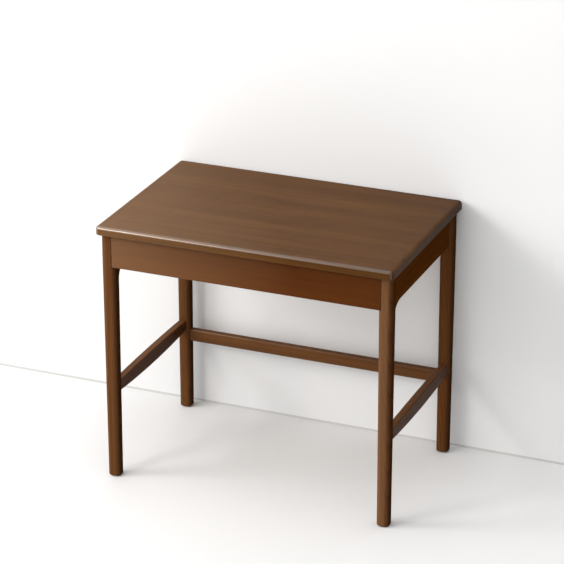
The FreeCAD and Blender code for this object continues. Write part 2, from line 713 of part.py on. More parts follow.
def make_runner(side):
    """The strip that a drawer side runs on: as wide as the gap to the apron between the legs."""
    name = "drawer_runner_" + side_name(side)
    runner = new_body(name, z=f"{RUNNER_TOP} - runner_thick")
    front, back = f"({BEHIND_FRONT} + tenon_end_gap)", BACK_APRON_INNER_Y
    plan = ((RUNNER_INNER_X, front), (RUNNER_LEG_X, front), (RUNNER_LEG_X, f"-{RUNNER_LEG_Y}"),
            (APRON_INNER_X, f"-{RUNNER_LEG_Y}"), (APRON_INNER_X, RUNNER_LEG_Y),
            (RUNNER_LEG_X, RUNNER_LEG_Y), (RUNNER_LEG_X, back), (RUNNER_INNER_X, back))
    outline = [(f"{side} * {x}", y) for x, y in plan]
    pad(runner, name + "_strip", polygon(runner, name + "_plan", "XY_Plane", (0, 0, 0), outline),
        "runner_thick")
    depth = f"({APRON_INNER_X} - {RUNNER_INNER_X})"
    for part, radius, length in (("shank", "screw_radius + screw_play", depth),
                                 ("counterbore", "counterbore_radius", f"{depth} - screw_seat")):
        start, size = across(side, RUNNER_INNER_X, f"{RUNNER_INNER_X} + {length}")
        hole = drill(runner, name + "_" + part, "YZ_Plane", ("-runner_screw_reach", "runner_thick / 2", start),
                     radius, size)
        repeat(runner, name + "_" + part + "s", hole, "Y_Axis", "2 * runner_screw_reach", 2)
    node(runner, name)


def make_guide(side):
    """The strip between the apron and the drawer side, which keeps the drawer straight."""
    name = "drawer_guide_" + side_name(side)
    guide = doc.addObject("Part::Box", name)
    inner = f"({DRAWER_HALF} + guide_gap)"
    corner, width = across(side, inner, APRON_INNER_X)
    bind(guide, "Length", width)
    bind(guide, "Width", f"2 * {RUNNER_LEG_Y}")
    bind(guide, "Height", "guide_height")
    place(guide, corner, f"-{RUNNER_LEG_Y}", RUNNER_TOP)
    node(guide, name)


def make_kicker(side):
    """The strip above a drawer side, which keeps the open drawer from tipping."""
    name = "drawer_kicker_" + side_name(side)
    bottom = f"{UNDERSIDE} - {KICKER_THICK}"
    kicker = new_body(name, z=bottom)
    plan = ((RUNNER_INNER_X, RAIL_BACK), (APRON_INNER_X, RAIL_BACK), (APRON_INNER_X, RUNNER_LEG_Y),
            (RUNNER_LEG_X, RUNNER_LEG_Y), (RUNNER_LEG_X, BACK_APRON_INNER_Y),
            (RUNNER_INNER_X, BACK_APRON_INNER_Y))
    outline = [(f"{side} * {x}", y) for x, y in plan]
    pad(kicker, name + "_strip", polygon(kicker, name + "_plan", "XY_Plane", (0, 0, 0), outline),
        KICKER_THICK)
    for row, reach in (("front", "-kicker_screw_reach"), ("back", "kicker_screw_reach")):
        screw_hole(kicker, "screw_" + row, f"{side} * {KICKER_X}", reach, bottom)
    node(kicker, name)


def make_stop(side):
    """The block behind the drawer that it comes to rest against."""
    name = "drawer_stop_" + side_name(side)
    block = doc.addObject("Part::Box", name)
    start = f"({DRAWER_END} + running_gap)"
    bind(block, "Length", "stop_width")
    bind(block, "Width", f"{BACK_APRON_INNER_Y} - {start}")
    bind(block, "Height", "stop_height")
    place(block, f"{side} * stop_spread / 2 - stop_width / 2", start, PLY_TOP)
    node(block, name)


def screw(name, point, axis):
    """One slotted screw; point is where its head seats, and axis the way it drives."""
    shank = doc.addObject("Part::Cylinder", name + "_shank")
    bind(shank, "Radius", "screw_radius")
    bind(shank, "Height", "screw_seat + screw_bite + screw_head_height")
    head = doc.addObject("Part::Cylinder", name + "_head")
    bind(head, "Radius", "screw_head_radius")
    bind(head, "Height", "screw_head_height")
    blank = doc.addObject("Part::Fuse", name + "_blank")
    blank.Base = shank
    blank.Tool = head
    slot = doc.addObject("Part::Box", name + "_slot")
    bind(slot, "Length", "2 * screw_head_radius")
    bind(slot, "Width", "screw_slot")
    bind(slot, "Height", "screw_slot")
    place(slot, "-screw_head_radius", "-screw_slot / 2", 0)
    whole = doc.addObject("Part::Cut", name)
    whole.Base = blank
    whole.Tool = slot
    turn = FreeCAD.Rotation(FreeCAD.Vector(0, 0, 1), FreeCAD.Vector(*axis))
    whole.Placement = FreeCAD.Placement(FreeCAD.Vector(), turn)
    place(whole, *[f"{text} - {step} * screw_head_height" for text, step in zip(point, axis)])
    return whole


def make_screws():
    """The screws into the top and through the runners, each set as one group."""
    into_top = []
    for row, x, y in screw_rows():
        for side in (LEFT, RIGHT):
            point = (f"{side} * ({x})", y, SCREW_SEAT_Z)
            into_top.append(screw(f"top_screw_{row}_{side_name(side)}", point, (0, 0, 1)))
    through_runners = []
    for side in (LEFT, RIGHT):
        for end, word in ((FRONT, "front"), (BACK, "back")):
            point = (f"{side} * ({APRON_INNER_X} - screw_seat)", f"{end} * runner_screw_reach",
                     f"{RUNNER_TOP} - runner_thick / 2")
            name = f"runner_screw_{word}_{side_name(side)}"
            through_runners.append(screw(name, point, (side, 0, 0)))
    for name, screws in (("top_screws", into_top), ("runner_screws", through_runners)):
        group = doc.addObject("Part::Compound", name)
        group.Links = screws
        node(group, name)


# ---------------------------------------------------------------- the drawer

def dovetail_slot(front, side):
    """The stopped slot in the drawer front's back that holds a drawer side."""
    middle = f"{side} * ({DRAWER_HALF} - drawer_side_thick / 2)"
    neck, flare = "dovetail_neck / 2", "(dovetail_neck / 2 + dovetail_flare)"
    slot = ((f"-{neck}", 0), (neck, 0), (flare, "-dovetail_depth"), (f"-{flare}", "-dovetail_depth"))
    name = "slot_" + side_name(side)
    outline = polygon(front, name + "_outline", "XY_Plane", (middle, "drawer_front_thick", 0), slot)
    pocket(front, name, outline, "drawer_side_bottom + drawer_side_height - apron_bottom")


def make_drawer_front():
    """The drawer front laps into the legs' notches, and is gripped by a groove under its edge."""
    name = "drawer_front"
    front = new_body(name, 0, FRONT_FACE, "apron_bottom")
    height = f"({APRON_HEIGHT} - drawer_front_top_gap)"
    board = add_box(front, name + "_board", (f"-{FRONT_HALF}", 0, 0),
                    (f"2 * {FRONT_HALF}", "drawer_front_thick", height))
    soften(front, name + "_arris", board, "drawer_front_round", lambda edge: edge.BoundBox.YMax < NEAR)
    for side in (LEFT, RIGHT):
        dovetail_slot(front, side)
    cut_box(front, "ply_groove",
            (f"-{DRAWER_INSIDE} - ply_groove_depth", "drawer_front_thick - ply_groove_depth",
             "drawer_side_bottom + ply_rise - ply_groove_play - apron_bottom"),
            (f"2 * ({DRAWER_INSIDE} + ply_groove_depth)", "ply_groove_depth + overcut",
             "ply_thick + 2 * ply_groove_play"))
    cut_box(front, "finger_grip",
            ("-finger_grip_length / 2", "drawer_front_thick - finger_grip_width", "-overcut"),
            ("finger_grip_length", "finger_grip_width + overcut", "finger_grip_height + overcut"))
    node(front, name)


def make_drawer_side(side):
    """A drawer side: dovetailed into the front, and cut at the back for the drawer back's pins."""
    name = "drawer_side_" + side_name(side)
    middle = f"{side} * ({DRAWER_HALF} - drawer_side_thick / 2)"
    board = new_body(name, middle, BEHIND_FRONT, "drawer_side_bottom")
    half, neck = "drawer_side_thick / 2", "dovetail_neck / 2"
    flare = "(dovetail_neck / 2 + dovetail_flare)"
    plan = ((f"-{half}", 0), (f"-{neck}", 0), (f"-{flare}", "-dovetail_depth"), (flare, "-dovetail_depth"),
            (neck, 0), (half, 0), (half, "drawer_length"), (f"-{half}", "drawer_length"))
    pad(board, name + "_board", polygon(board, name + "_plan", "XY_Plane", (0, 0, 0), plan),
        "drawer_side_height")
    inside = -side
    x, width = across(inside, f"{half} - ply_groove_depth", f"{half} + overcut")
    cut_box(board, "ply_groove", (x, "-dovetail_depth - overcut", "ply_rise - ply_groove_play"),
            (width, "drawer_length + dovetail_depth + 2 * overcut", "ply_thick + 2 * ply_groove_play"))
    x, width = across(inside, f"{half} - divider_dado", f"{half} + overcut")
    cut_box(board, "divider_dado", (x, "divider_setback", "ply_rise + ply_thick"),
            (width, "divider_thick", "divider_height"))
    socket = pocket(board, "pin_socket",
                    pin_outline(board, "pin_socket_outline", "drawer_length - drawer_side_thick",
                                "ply_rise + ply_thick", f"-{half}"),
                    "drawer_side_thick")
    repeat(board, "pin_sockets", socket, "Z_Axis", PIN_SPAN, PIN_COUNT)
    node(board, name)


def pin_outline(body, name, y, z, x):
    """The lowest of the drawer back's dovetail pins, seen from the side."""
    middle = f"((drawer_back_height - {PIN_SPAN}) / 2)"
    outline = ((0, f"{middle} - pin_base / 2"), ("drawer_side_thick", f"{middle} - pin_end / 2"),
               ("drawer_side_thick", f"{middle} + pin_end / 2"), (0, f"{middle} + pin_base / 2"))
    return polygon(body, name, "YZ_Plane", (y, z, x), outline)


def make_drawer_back():
    """The drawer back stands on the ply, and its pins pass through the sides."""
    name = "drawer_back"
    back = new_body(name, 0, f"{DRAWER_END} - drawer_side_thick", PLY_TOP)
    pin = pad(back, "pin", pin_outline(back, "pin_outline", 0, 0, f"-{DRAWER_HALF}"), f"2 * {DRAWER_HALF}")
    repeat(back, "pins", pin, "Z_Axis", PIN_SPAN, PIN_COUNT)
    add_box(back, name + "_board", (f"-{DRAWER_INSIDE}", 0, 0),
            (f"2 * {DRAWER_INSIDE}", "drawer_side_thick", "drawer_back_height"))
    node(back, name)


def make_drawer_bottom():
    """The plywood bottom, in grooves in the front and the sides and under the back."""
    ply = doc.addObject("Part::Box", "drawer_bottom")
    reach = "(ply_groove_depth - guide_gap)"
    bind(ply, "Length", f"2 * ({DRAWER_INSIDE} + {reach})")
    bind(ply, "Width", f"drawer_length + {reach}")
    bind(ply, "Height", "ply_thick")
    place(ply, f"-({DRAWER_INSIDE} + {reach})", f"{BEHIND_FRONT} - {reach}", "drawer_side_bottom + ply_rise")
    node(ply, "drawer_bottom")


def make_dividers():
    """One long divider let into the sides, and two short ones between it and the front."""
    name = "divider_long"
    board = new_body(name, 0, f"{BEHIND_FRONT} + divider_setback", PLY_TOP)
    half = f"({DRAWER_INSIDE} + divider_dado)"
    add_box(board, name + "_board", (f"-{half}", 0, 0), (f"2 * {half}", "divider_thick", "divider_height"))
    node(board, name)
    for side in (LEFT, RIGHT):
        name = "divider_cross_" + side_name(side)
        strip = doc.addObject("Part::Box", name)
        bind(strip, "Length", "divider_thick")
        bind(strip, "Width", "divider_setback")
        bind(strip, "Height", "divider_height")
        place(strip, f"{side} * cross_divider_spread / 2 - divider_thick / 2", BEHIND_FRONT, PLY_TOP)
        node(strip, name)


make_top()
for end in (FRONT, BACK):
    for side in (LEFT, RIGHT):
        make_leg(side, end)
        make_glide(side, end)
for side in (LEFT, RIGHT):
    make_side_apron(side)
    make_side_stretcher(side)
    make_runner(side)
    make_guide(side)
    make_kicker(side)
    make_stop(side)
    make_drawer_side(side)
make_back_apron()
make_back_stretcher()
make_front_rail()
make_back_cleat()
make_screws()
make_drawer_front()
make_drawer_back()
make_drawer_bottom()
make_dividers()
doc.recompute()

for thing in doc.Objects:
    if "Invalid" in thing.State or "Error" in thing.State:
        raise RuntimeError(f"{thing.Label} failed: {thing.State}")
for piece in nodes:
    if piece.Shape.isNull() or not piece.Shape.isValid():
        raise RuntimeError(f"{piece.Label} has no valid shape")

os.makedirs("parts", exist_ok=True)
for piece in nodes:
    piece.Shape.exportStep(f"parts/{piece.Label}.step")
    print(piece.Label, len(piece.Shape.Solids), round(piece.Shape.Volume / 1000, 2), "cm3")
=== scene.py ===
import math

import bpy
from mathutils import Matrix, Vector


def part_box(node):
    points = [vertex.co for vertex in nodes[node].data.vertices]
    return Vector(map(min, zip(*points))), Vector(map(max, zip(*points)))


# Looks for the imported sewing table: every board keeps its CAD shape and gets a varnished or bare
# wood of its own, with the grain along the board. Metres, in the part's own frame.

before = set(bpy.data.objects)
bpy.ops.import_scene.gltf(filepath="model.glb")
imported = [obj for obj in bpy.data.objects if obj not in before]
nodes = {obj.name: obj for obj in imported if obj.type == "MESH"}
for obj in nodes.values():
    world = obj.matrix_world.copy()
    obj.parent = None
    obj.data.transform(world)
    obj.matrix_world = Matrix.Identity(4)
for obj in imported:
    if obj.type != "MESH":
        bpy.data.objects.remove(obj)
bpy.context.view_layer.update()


# ---------------------------------------------------------------- colours

def srgb(red, green, blue):
    """A colour as the eye reads it, from 0 to 255, turned to linear light."""
    def linear(value):
        value /= 255
        return value / 12.92 if value <= 0.04045 else ((value + 0.055) / 1.055) ** 2.4
    return (linear(red), linear(green), linear(blue), 1.0)


def dimmed(colour, factor):
    return tuple(channel * factor for channel in colour[:3]) + (1.0,)


WALNUT = dict(deep=srgb(35, 19, 9), middle=srgb(79, 47, 22), pale=srgb(106, 69, 38))
TOP_WALNUT = dict(deep=srgb(34, 19, 5), middle=srgb(73, 44, 14), pale=srgb(96, 62, 27))
DARK_WALNUT = dict(deep=srgb(33, 15, 3), middle=srgb(70, 36, 9), pale=srgb(93, 52, 19))
RED_WALNUT = dict(deep=srgb(42, 18, 4), middle=srgb(72, 36, 9), pale=srgb(94, 52, 18))
BEECH = dict(deep=srgb(150, 112, 74), middle=srgb(190, 152, 110), pale=srgb(214, 182, 142))

AMBER = (1.0, 0.8, 0.6, 1.0)  # the old varnish warms what it mirrors
# a pale tone for scratches, and also the painted light on faces and board ends turned to the light
SCRATCH_PALE_AND_PAINTED_LIGHT = srgb(142, 110, 82)
# painted shade: the darker colour for faces turned away from the light and for the top's far right corner
PAINTED_SHADE_COLOUR = srgb(20, 8, 2)
RUBBED = (0.22, 0.12, 0.06, 1.0)

PLASTIC_DARK, PLASTIC_PALE = srgb(28, 25, 23), srgb(58, 52, 47)
STEEL_DARK, STEEL_PALE = srgb(96, 92, 86), srgb(168, 166, 160)

ROOM_PAINT = srgb(206, 206, 206)
# the grey of the painted shadow line where the floor meets the wall
PAINTED_SEAM_SHADOW = srgb(178, 178, 176)
FAR_PAINT = srgb(112, 112, 112)


# ---------------------------------------------------------------- node helpers

def new_material(name):
    material = bpy.data.materials.new(name)
    material.use_nodes = True
    material.node_tree.nodes.clear()
    return material


class Tree:
    """Short calls for building one material's nodes."""

    def __init__(self, material):
        self.tree = material.node_tree

    def add(self, kind, settings=None, **inputs):
        """A node of this kind; a keyword names one of its inputs, which is set or linked."""
        made = self.tree.nodes.new("ShaderNode" + kind)
        for key, value in (settings or {}).items():
            setattr(made, key, value)
        for key, value in inputs.items():
            self.feed(made, key.replace("_", " "), value)
        return made

    def feed(self, made, key, value):
        """Set or link one input, given by its name or by its number in quotes."""
        socket = made.inputs[int(key)] if key.isdigit() else made.inputs[key]
        if isinstance(value, bpy.types.NodeSocket):
            self.tree.links.new(value, socket)
        else:
            socket.default_value = value

    def math(self, operation, first, second=0.0, clamp=False):
        made = self.add("Math", {"operation": operation, "use_clamp": clamp})
        self.feed(made, "0", first)
        self.feed(made, "1", second)
        return made.outputs[0]

    def plus(self, first, second):
        return self.math("ADD", first, second)

    def minus(self, first, second):
        return self.math("SUBTRACT", first, second)

    def times(self, first, second):
        return self.math("MULTIPLY", first, second)

    def vector(self, operation, first, second=(0, 0, 0), output="Vector"):
        made = self.add("VectorMath", {"operation": operation})
        self.feed(made, "0", first)
        self.feed(made, "1", second)
        return made.outputs[output]

    def dot(self, first, second):
        return self.vector("DOT_PRODUCT", first, second, output="Value")

    def parts(self, vector):
        """A vector's X, Y and Z."""
        return self.add("SeparateXYZ", Vector=vector).outputs

    def turned(self, vector, rotation, shift=(0, 0, 0)):
        made = self.add("Mapping", {"vector_type": "POINT"}, Vector=vector, Location=shift, Rotation=rotation)
        return made.outputs["Vector"]

    def spread(self, value, low, high, to_low=0.0, to_high=1.0):
        """Map a value from one range to another, held at both ends."""
        made = self.add("MapRange", Value=value)
        for key, number in (("From Min", low), ("From Max", high), ("To Min", to_low), ("To Max", to_high)):
            made.inputs[key].default_value = number
        return made.outputs["Result"]

    def noise(self, vector, scales, detail=2.0, roughness=0.5, output="Fac"):
        """Noise that varies at its own scale along each axis."""
        scaled = self.vector("MULTIPLY", vector, scales)
        made = self.add("TexNoise", Vector=scaled, Scale=1.0, Detail=detail, Roughness=roughness)
        return made.outputs[output]

    def swing(self, noise, strength):
        """A noise moved to lie evenly about zero, with this strength."""
        return self.times(self.minus(noise, 0.5), strength)

    def blend(self, factor, first, second):
        """Mix two colours."""
        made = self.add("Mix", {"data_type": "RGBA"})
        for key, value in (("0", factor), ("6", first), ("7", second)):
            self.feed(made, key, value)
        return made.outputs[2]

    def ramp(self, value, *stops):
        """A colour ramp through (place, colour) stops."""
        made = self.add("ValToRGB", Fac=value)
        points = made.color_ramp.elements
        while len(points) < len(stops):
            points.new(0.5)
        for point, (place, colour) in zip(points, stops):
            point.position = place
            point.color = colour
        return made.outputs["Color"]


# ---------------------------------------------------------------- wood

AXES = {"x": (1, 0, 0), "y": (0, 1, 0), "z": (0, 0, 1)}

# turns a board's grain from its own axis to X
TURN = {"x": (0, 0, 0), "y": (0, 0, -math.pi / 2), "z": (0, math.pi / 2, 0)}

# the direction of the painted light: faces turned to it are painted paler, and faces turned away darker
PAINTED_LIGHT_DIRECTION = (-0.75, -0.4, 0.5)

# how finely each part of the grain varies per metre: along the fibre, and both ways across it
WANDER = (1.6, 7.0, 7.0)
RIPPLE = (3.0, 40.0, 40.0)
BANDS = (1.1, 24.0, 24.0)
STREAKS = (2.2, 150.0, 150.0)
FIBRES = (18.0, 900.0, 900.0)
PORES = (55.0, 1700.0, 1700.0)
SPECKLES = (300.0, 1500.0, 1500.0)

# how finely the finish varies per metre
GLOSS_PATCHES = (9.0, 9.0, 9.0)
# how the painted light and shade drifts across the board
PAINTED_LIGHT_DRIFT = (3.0, 9.0, 9.0)
RUB_PATCHES = (26.0, 26.0, 26.0)
SCRATCHES = (4.0, 420.0, 4.0)
SCRATCH_PATCHES = (7.0, 7.0, 7.0)

# the two values between which each thing sets in, from none of it to all of it
LATE_WOOD_END = (1.0, 0.93)
PORE_PEAKS = (0.62, 0.72)
END_FACE = (0.72, 0.92)
# where the painted light and the painted shade set in, across the board and by which way a face turns
PAINTED_LIT_SIDE = (0.0, -0.55)
PAINTED_SHADED_SIDE = (0.2, 0.5)
FACING_LIGHT = (-0.1, 0.35)
FACING_AWAY = (-0.1, -0.65)
HAIR_PEAKS = (0.7, 0.76)
SCRATCHED_PATCHES = (0.5, 0.62)
GLUE_LINE = (-0.0008, -0.0003)
NEAR_EDGE = (0.02, 0.2)
RUBBED_PATCHES = (0.42, 0.62)
ROUNDED = (0.985, 0.93)
NOT_UNDERSIDE = (-0.3, -0.05)

# most of a noise lies between these, and most of the table's width
NOISE_MIDDLE = (0.3, 0.7)
TABLE_SPAN = (-0.4, 0.4)

# how strongly each thing shows
RIPPLE_STRENGTH = 0.8
LATE_WOOD_POWER = 3.0
FIBRE_STRENGTH = 0.25
LATE_WOOD_STRENGTH = 0.45
PORE_STRENGTH = 0.55
END_STRENGTH = 0.75
DRIFT_STRENGTH = 0.12
GLUE_STRENGTH = 0.6
RUB_DULLING = 0.15
POLISH_SMOOTHING = 0.06
POLISH_AT_RIGHT = 0.5
GRAIN_BUMP = 0.45

MIDDLE_TONE = 0.55
SCRATCH_ANGLES = (0.5, -0.9, 2.1)
# the direction along which the painted light and shade change across a board
FROM_THE_WINDOW = (1.0, 0.5, 0.0)
SWAY = 0.02
TAPER = 0.06
RUB_RADIUS = 0.004
GRAIN_DEPTH = 0.00035
POLISH_IOR = 1.8


def grow(t, board, ring_pitch):
    """Slowly wandering fibres, and the late wood of growth layers around a heart outside the board."""
    wander = t.noise(board, WANDER, 3.0, output="Color")
    sway = t.vector("MULTIPLY", t.vector("SUBTRACT", wander, (0.5, 0.5, 0.5)), (0.0, SWAY, SWAY))
    fibre = t.vector("ADD", board, sway)
    reach = t.vector("LENGTH", t.vector("MULTIPLY", fibre, (TAPER, 1.0, 1.0)), output="Value")
    layers = t.plus(t.times(reach, 1.0 / ring_pitch), t.times(t.noise(fibre, RIPPLE), RIPPLE_STRENGTH))
    phase = t.math("FRACT", layers)
    late = t.times(t.math("POWER", phase, LATE_WOOD_POWER), t.spread(phase, *LATE_WOOD_END))
    return wander, fibre, late


def end_grain(t, colour, facing, board, late, deep, middle):
    """The ends of the fibres show darker and speckled."""
    end = t.spread(t.math("ABSOLUTE", facing), *END_FACE)
    speckle = t.noise(board, SPECKLES, 2.0, 0.6)
    tone = t.plus(t.times(speckle, 0.6), t.times(late, 0.35))
    end_colour = t.ramp(tone, (0.2, dimmed(deep, 0.45)), (0.75, middle))
    return t.blend(t.times(end, END_STRENGTH), colour, end_colour)


def paint_light_across(t, colour, place, painted_light_and_shade):
    """Painted light and shade: the board's left end is painted paler, and its far right corner darker."""
    drift = t.swing(t.noise(place, PAINTED_LIGHT_DRIFT), DRIFT_STRENGTH)
    across = t.plus(t.dot(place, FROM_THE_WINDOW), drift)
    colour = t.blend(t.spread(across, *PAINTED_LIT_SIDE, 0.0, painted_light_and_shade), colour, SCRATCH_PALE_AND_PAINTED_LIGHT)
    return t.blend(t.spread(across, *PAINTED_SHADED_SIDE, 0.0, painted_light_and_shade), colour, PAINTED_SHADE_COLOUR)


def paint_light_by_face(t, colour, normal, painted_light, painted_shade):
    """Painted light and shade: faces turned to the light are painted paler, and those turned away darker."""
    exposure = t.dot(normal, PAINTED_LIGHT_DIRECTION)
    colour = t.blend(t.spread(exposure, *FACING_LIGHT, 0.0, painted_light), colour, SCRATCH_PALE_AND_PAINTED_LIGHT)
    return t.blend(t.spread(exposure, *FACING_AWAY, 0.0, painted_shade), colour, PAINTED_SHADE_COLOUR)


def scratch(t, colour, gloss, place, wander, scuffs):
    """Hair scratches in patches, at a few angles: duller and a little paler than the finish."""
    for angle in SCRATCH_ANGLES:
        turned = t.turned(place, (0, 0, angle))
        bent = t.vector("ADD", turned, t.vector("MULTIPLY", wander, (0.0, SWAY, 0.0)))
        hair = t.spread(t.noise(bent, SCRATCHES, 1.0, 0.4), *HAIR_PEAKS)
        where = t.spread(t.noise(turned, SCRATCH_PATCHES), *SCRATCHED_PATCHES)
        mark = t.times(t.times(hair, where), scuffs)
        gloss = t.plus(gloss, mark)
        colour = t.blend(mark, colour, SCRATCH_PALE_AND_PAINTED_LIGHT)
    return colour, gloss


def glue_line(t, colour, place, rim, deep):
    """The dark line around the panel's edge, where its lippings are glued on."""
    spot = t.parts(t.vector("ABSOLUTE", place))
    inside = t.math("MAXIMUM", t.minus(spot["X"], rim[0]), t.minus(spot["Y"], rim[1]))
    return t.blend(t.spread(inside, *GLUE_LINE, 0.0, GLUE_STRENGTH), colour, deep)


def rub_edges(t, colour, gloss, place, wear):
    """Rubbed edges: where a small bevel would turn the surface away from its own normal."""
    true_normal = t.add("NewGeometry").outputs["Normal"]
    soft = t.add("Bevel", {"samples": 4}, Radius=RUB_RADIUS).outputs["Normal"]
    edge = t.spread(t.minus(1.0, t.dot(soft, true_normal)), *NEAR_EDGE)
    patch = t.spread(t.noise(place, RUB_PATCHES, 4.0, 0.65), *RUBBED_PATCHES)
    rub = t.times(t.times(edge, patch), wear)
    return t.blend(rub, colour, RUBBED), t.plus(gloss, t.times(rub, RUB_DULLING))


def polish_edges(t, shader, place, normal, roughness, polish):
    """Hands have polished the rounded edges, which face between two axes, but not the undersides.

    The polish is strongest at the left and falls off to the right.
    """
    sides = t.parts(t.vector("ABSOLUTE", normal))
    flat = t.math("MAXIMUM", t.math("MAXIMUM", sides["X"], sides["Y"]), sides["Z"])
    upper = t.spread(t.parts(normal)["Z"], *NOT_UNDERSIDE)
    rounded = t.times(t.spread(flat, *ROUNDED), upper)
    handled = t.spread(t.parts(place)["X"], *TABLE_SPAN, polish, POLISH_AT_RIGHT * polish)
    shader.inputs["Coat IOR"].default_value = POLISH_IOR
    shader.inputs["Coat Roughness"].default_value = roughness - POLISH_SMOOTHING
    t.feed(shader, "Coat Weight", t.times(rounded, handled))


def wood(name, along, seat, deep, middle, pale, roughness=0.45, ring_pitch=0.0045, sheen=0.0,
         streaks=0.4, figure=0.4, pores=0.6, wear=0.0, painted_light_and_shade=0.0, polish=0.0, rim=None, scuffs=0.0,
         painted_light=0.0, painted_shade=0.0):
    """One board's wood. The grain runs along an axis, and seat moves the board within its log.

    streaks, figure and pores say how strongly each shows, and wear, scuffs and polish how much
    the board was handled. The light-and-shade amounts paint light and shade into the colour: one
    paints the board's left end paler and its far right corner darker, one paints faces turned to
    the light paler, and one paints faces turned away from it darker. rim is half the size of a
    panel with a glue line around it.
    """
    material = new_material(name)
    t = Tree(material)
    coordinates = t.add("TexCoord").outputs
    place, normal = coordinates["Object"], coordinates["Normal"]
    board = t.turned(place, TURN[along], seat)
    wander, fibre, late = grow(t, board, ring_pitch)

    streak = t.noise(fibre, STREAKS, 3.0, 0.6)
    band = t.noise(fibre, BANDS)
    fine = t.noise(fibre, FIBRES, 2.0, 0.6)
    pore = t.spread(t.noise(fibre, PORES, 1.0), *PORE_PEAKS)

    tone = t.plus(t.swing(streak, streaks), t.swing(band, streaks * 1.1))
    tone = t.plus(t.plus(tone, t.swing(fine, FIBRE_STRENGTH)), MIDDLE_TONE)
    tone = t.math("SUBTRACT", tone, t.times(late, LATE_WOOD_STRENGTH * figure), clamp=True)
    colour = t.ramp(tone, (0.12, deep), (0.52, middle), (0.92, pale))
    colour = t.blend(t.times(pore, pores * PORE_STRENGTH), colour, dimmed(deep, 0.35))
    colour = end_grain(t, colour, t.dot(normal, AXES[along]), board, late, deep, middle)

    patches = t.noise(place, GLOSS_PATCHES, 3.0, 0.6)
    gloss = t.spread(patches, *NOISE_MIDDLE, roughness - 0.02, roughness + 0.03)
    # painted light and shade: the left end paler, the far right corner darker
    if painted_light_and_shade > 0.0:
        colour = paint_light_across(t, colour, place, painted_light_and_shade)
    if scuffs > 0.0:
        colour, gloss = scratch(t, colour, gloss, place, wander, scuffs)
    # painted light and shade: faces turned to the light paler, faces turned away darker
    if painted_shade > 0.0:
        colour = paint_light_by_face(t, colour, normal, painted_light, painted_shade)
    if rim:
        colour = glue_line(t, colour, place, rim, deep)
    if wear > 0.0:
        colour, gloss = rub_edges(t, colour, gloss, place, wear)

    hollows = t.plus(t.times(pore, pores), t.times(late, 0.25))
    relief = t.minus(t.times(fine, 0.35), hollows)
    bump = t.add("Bump", Strength=GRAIN_BUMP, Distance=GRAIN_DEPTH, Height=relief)
    shader = t.add("BsdfPrincipled", Base_Color=colour, Roughness=gloss, Normal=bump.outputs["Normal"])
    shader.inputs["Specular Tint"].default_value = AMBER
    shader.inputs["Specular IOR Level"].default_value = sheen
    if polish > 0.0:
        polish_edges(t, shader, place, normal, roughness, polish)
    t.add("OutputMaterial", Surface=shader.outputs["BSDF"])
    return material


# ---------------------------------------------------------------- other materials

# how finely each varies per metre
PLASTIC_SCUFFS = (240.0, 240.0, 240.0)
STEEL_BLOOM = (420.0, 420.0, 420.0)
PAINT_MOTTLE = (3.0, 3.0, 3.0)


def plastic(name):
    material = new_material(name)
    t = Tree(material)
    place = t.add("TexCoord").outputs["Object"]
    scuff = t.noise(place, PLASTIC_SCUFFS, 4.0, 0.7)
    colour = t.ramp(scuff, (0.35, PLASTIC_DARK), (0.75, PLASTIC_PALE))
    bump = t.add("Bump", Strength=0.2, Distance=0.0002, Height=scuff)
    gloss = t.spread(scuff, *NOISE_MIDDLE, 0.5, 0.75)
    shader = t.add("BsdfPrincipled", Base_Color=colour, Roughness=gloss, Normal=bump.outputs["Normal"])
    t.add("OutputMaterial", Surface=shader.outputs["BSDF"])
    return material


def steel(name):
    material = new_material(name)
    t = Tree(material)
    place = t.add("TexCoord").outputs["Object"]
    bloom = t.noise(place, STEEL_BLOOM, 4.0, 0.65)
    colour = t.ramp(bloom, (0.3, STEEL_DARK), (0.7, STEEL_PALE))
    gloss = t.spread(bloom, *NOISE_MIDDLE, 0.55, 0.32)
    shader = t.add("BsdfPrincipled", Base_Color=colour, Roughness=gloss)
    shader.inputs["Metallic"].default_value = 1.0
    t.add("OutputMaterial", Surface=shader.outputs["BSDF"])
    return material


def one_sided(name, colour, roughness):
    """A painted surface that is only there from its front, so it never hides the object."""
    material = new_material(name)
    t = Tree(material)
    place = t.add("TexCoord").outputs["Object"]
    mottle = t.noise(place, PAINT_MOTTLE, 3.0, 0.6)
    paint = t.blend(t.spread(mottle, *NOISE_MIDDLE, 0.0, 0.03), colour, dimmed(colour, 0.9))
    painted = t.add("BsdfPrincipled", Base_Color=paint, Roughness=roughness).outputs["BSDF"]
    clear = t.add("BsdfTransparent").outputs["BSDF"]
    shown = t.add("MixShader")
    t.feed(shown, "0", t.add("NewGeometry").outputs["Backfacing"])
    t.feed(shown, "1", painted)
    t.feed(shown, "2", clear)
    t.add("OutputMaterial", Surface=shown.outputs[0])
    return material


# ---------------------------------------------------------------- the table

# some finishes below paint light and shade into the colour: paler at the left end and on faces turned to the
# light, darker at the far right corner and on faces turned away
LIPPING = dict(sheen=0.055, roughness=0.4, wear=0.3, painted_light_and_shade=0.27, painted_shade=0.45, **TOP_WALNUT)
LEG = dict(roughness=0.34, wear=0.3, polish=0.06, painted_shade=0.55, **WALNUT)
APRON = dict(roughness=0.4, wear=0.3, **DARK_WALNUT)
STRETCHER = dict(sheen=0.03, roughness=0.34, wear=0.3, painted_light=0.08, painted_shade=0.4, **WALNUT)

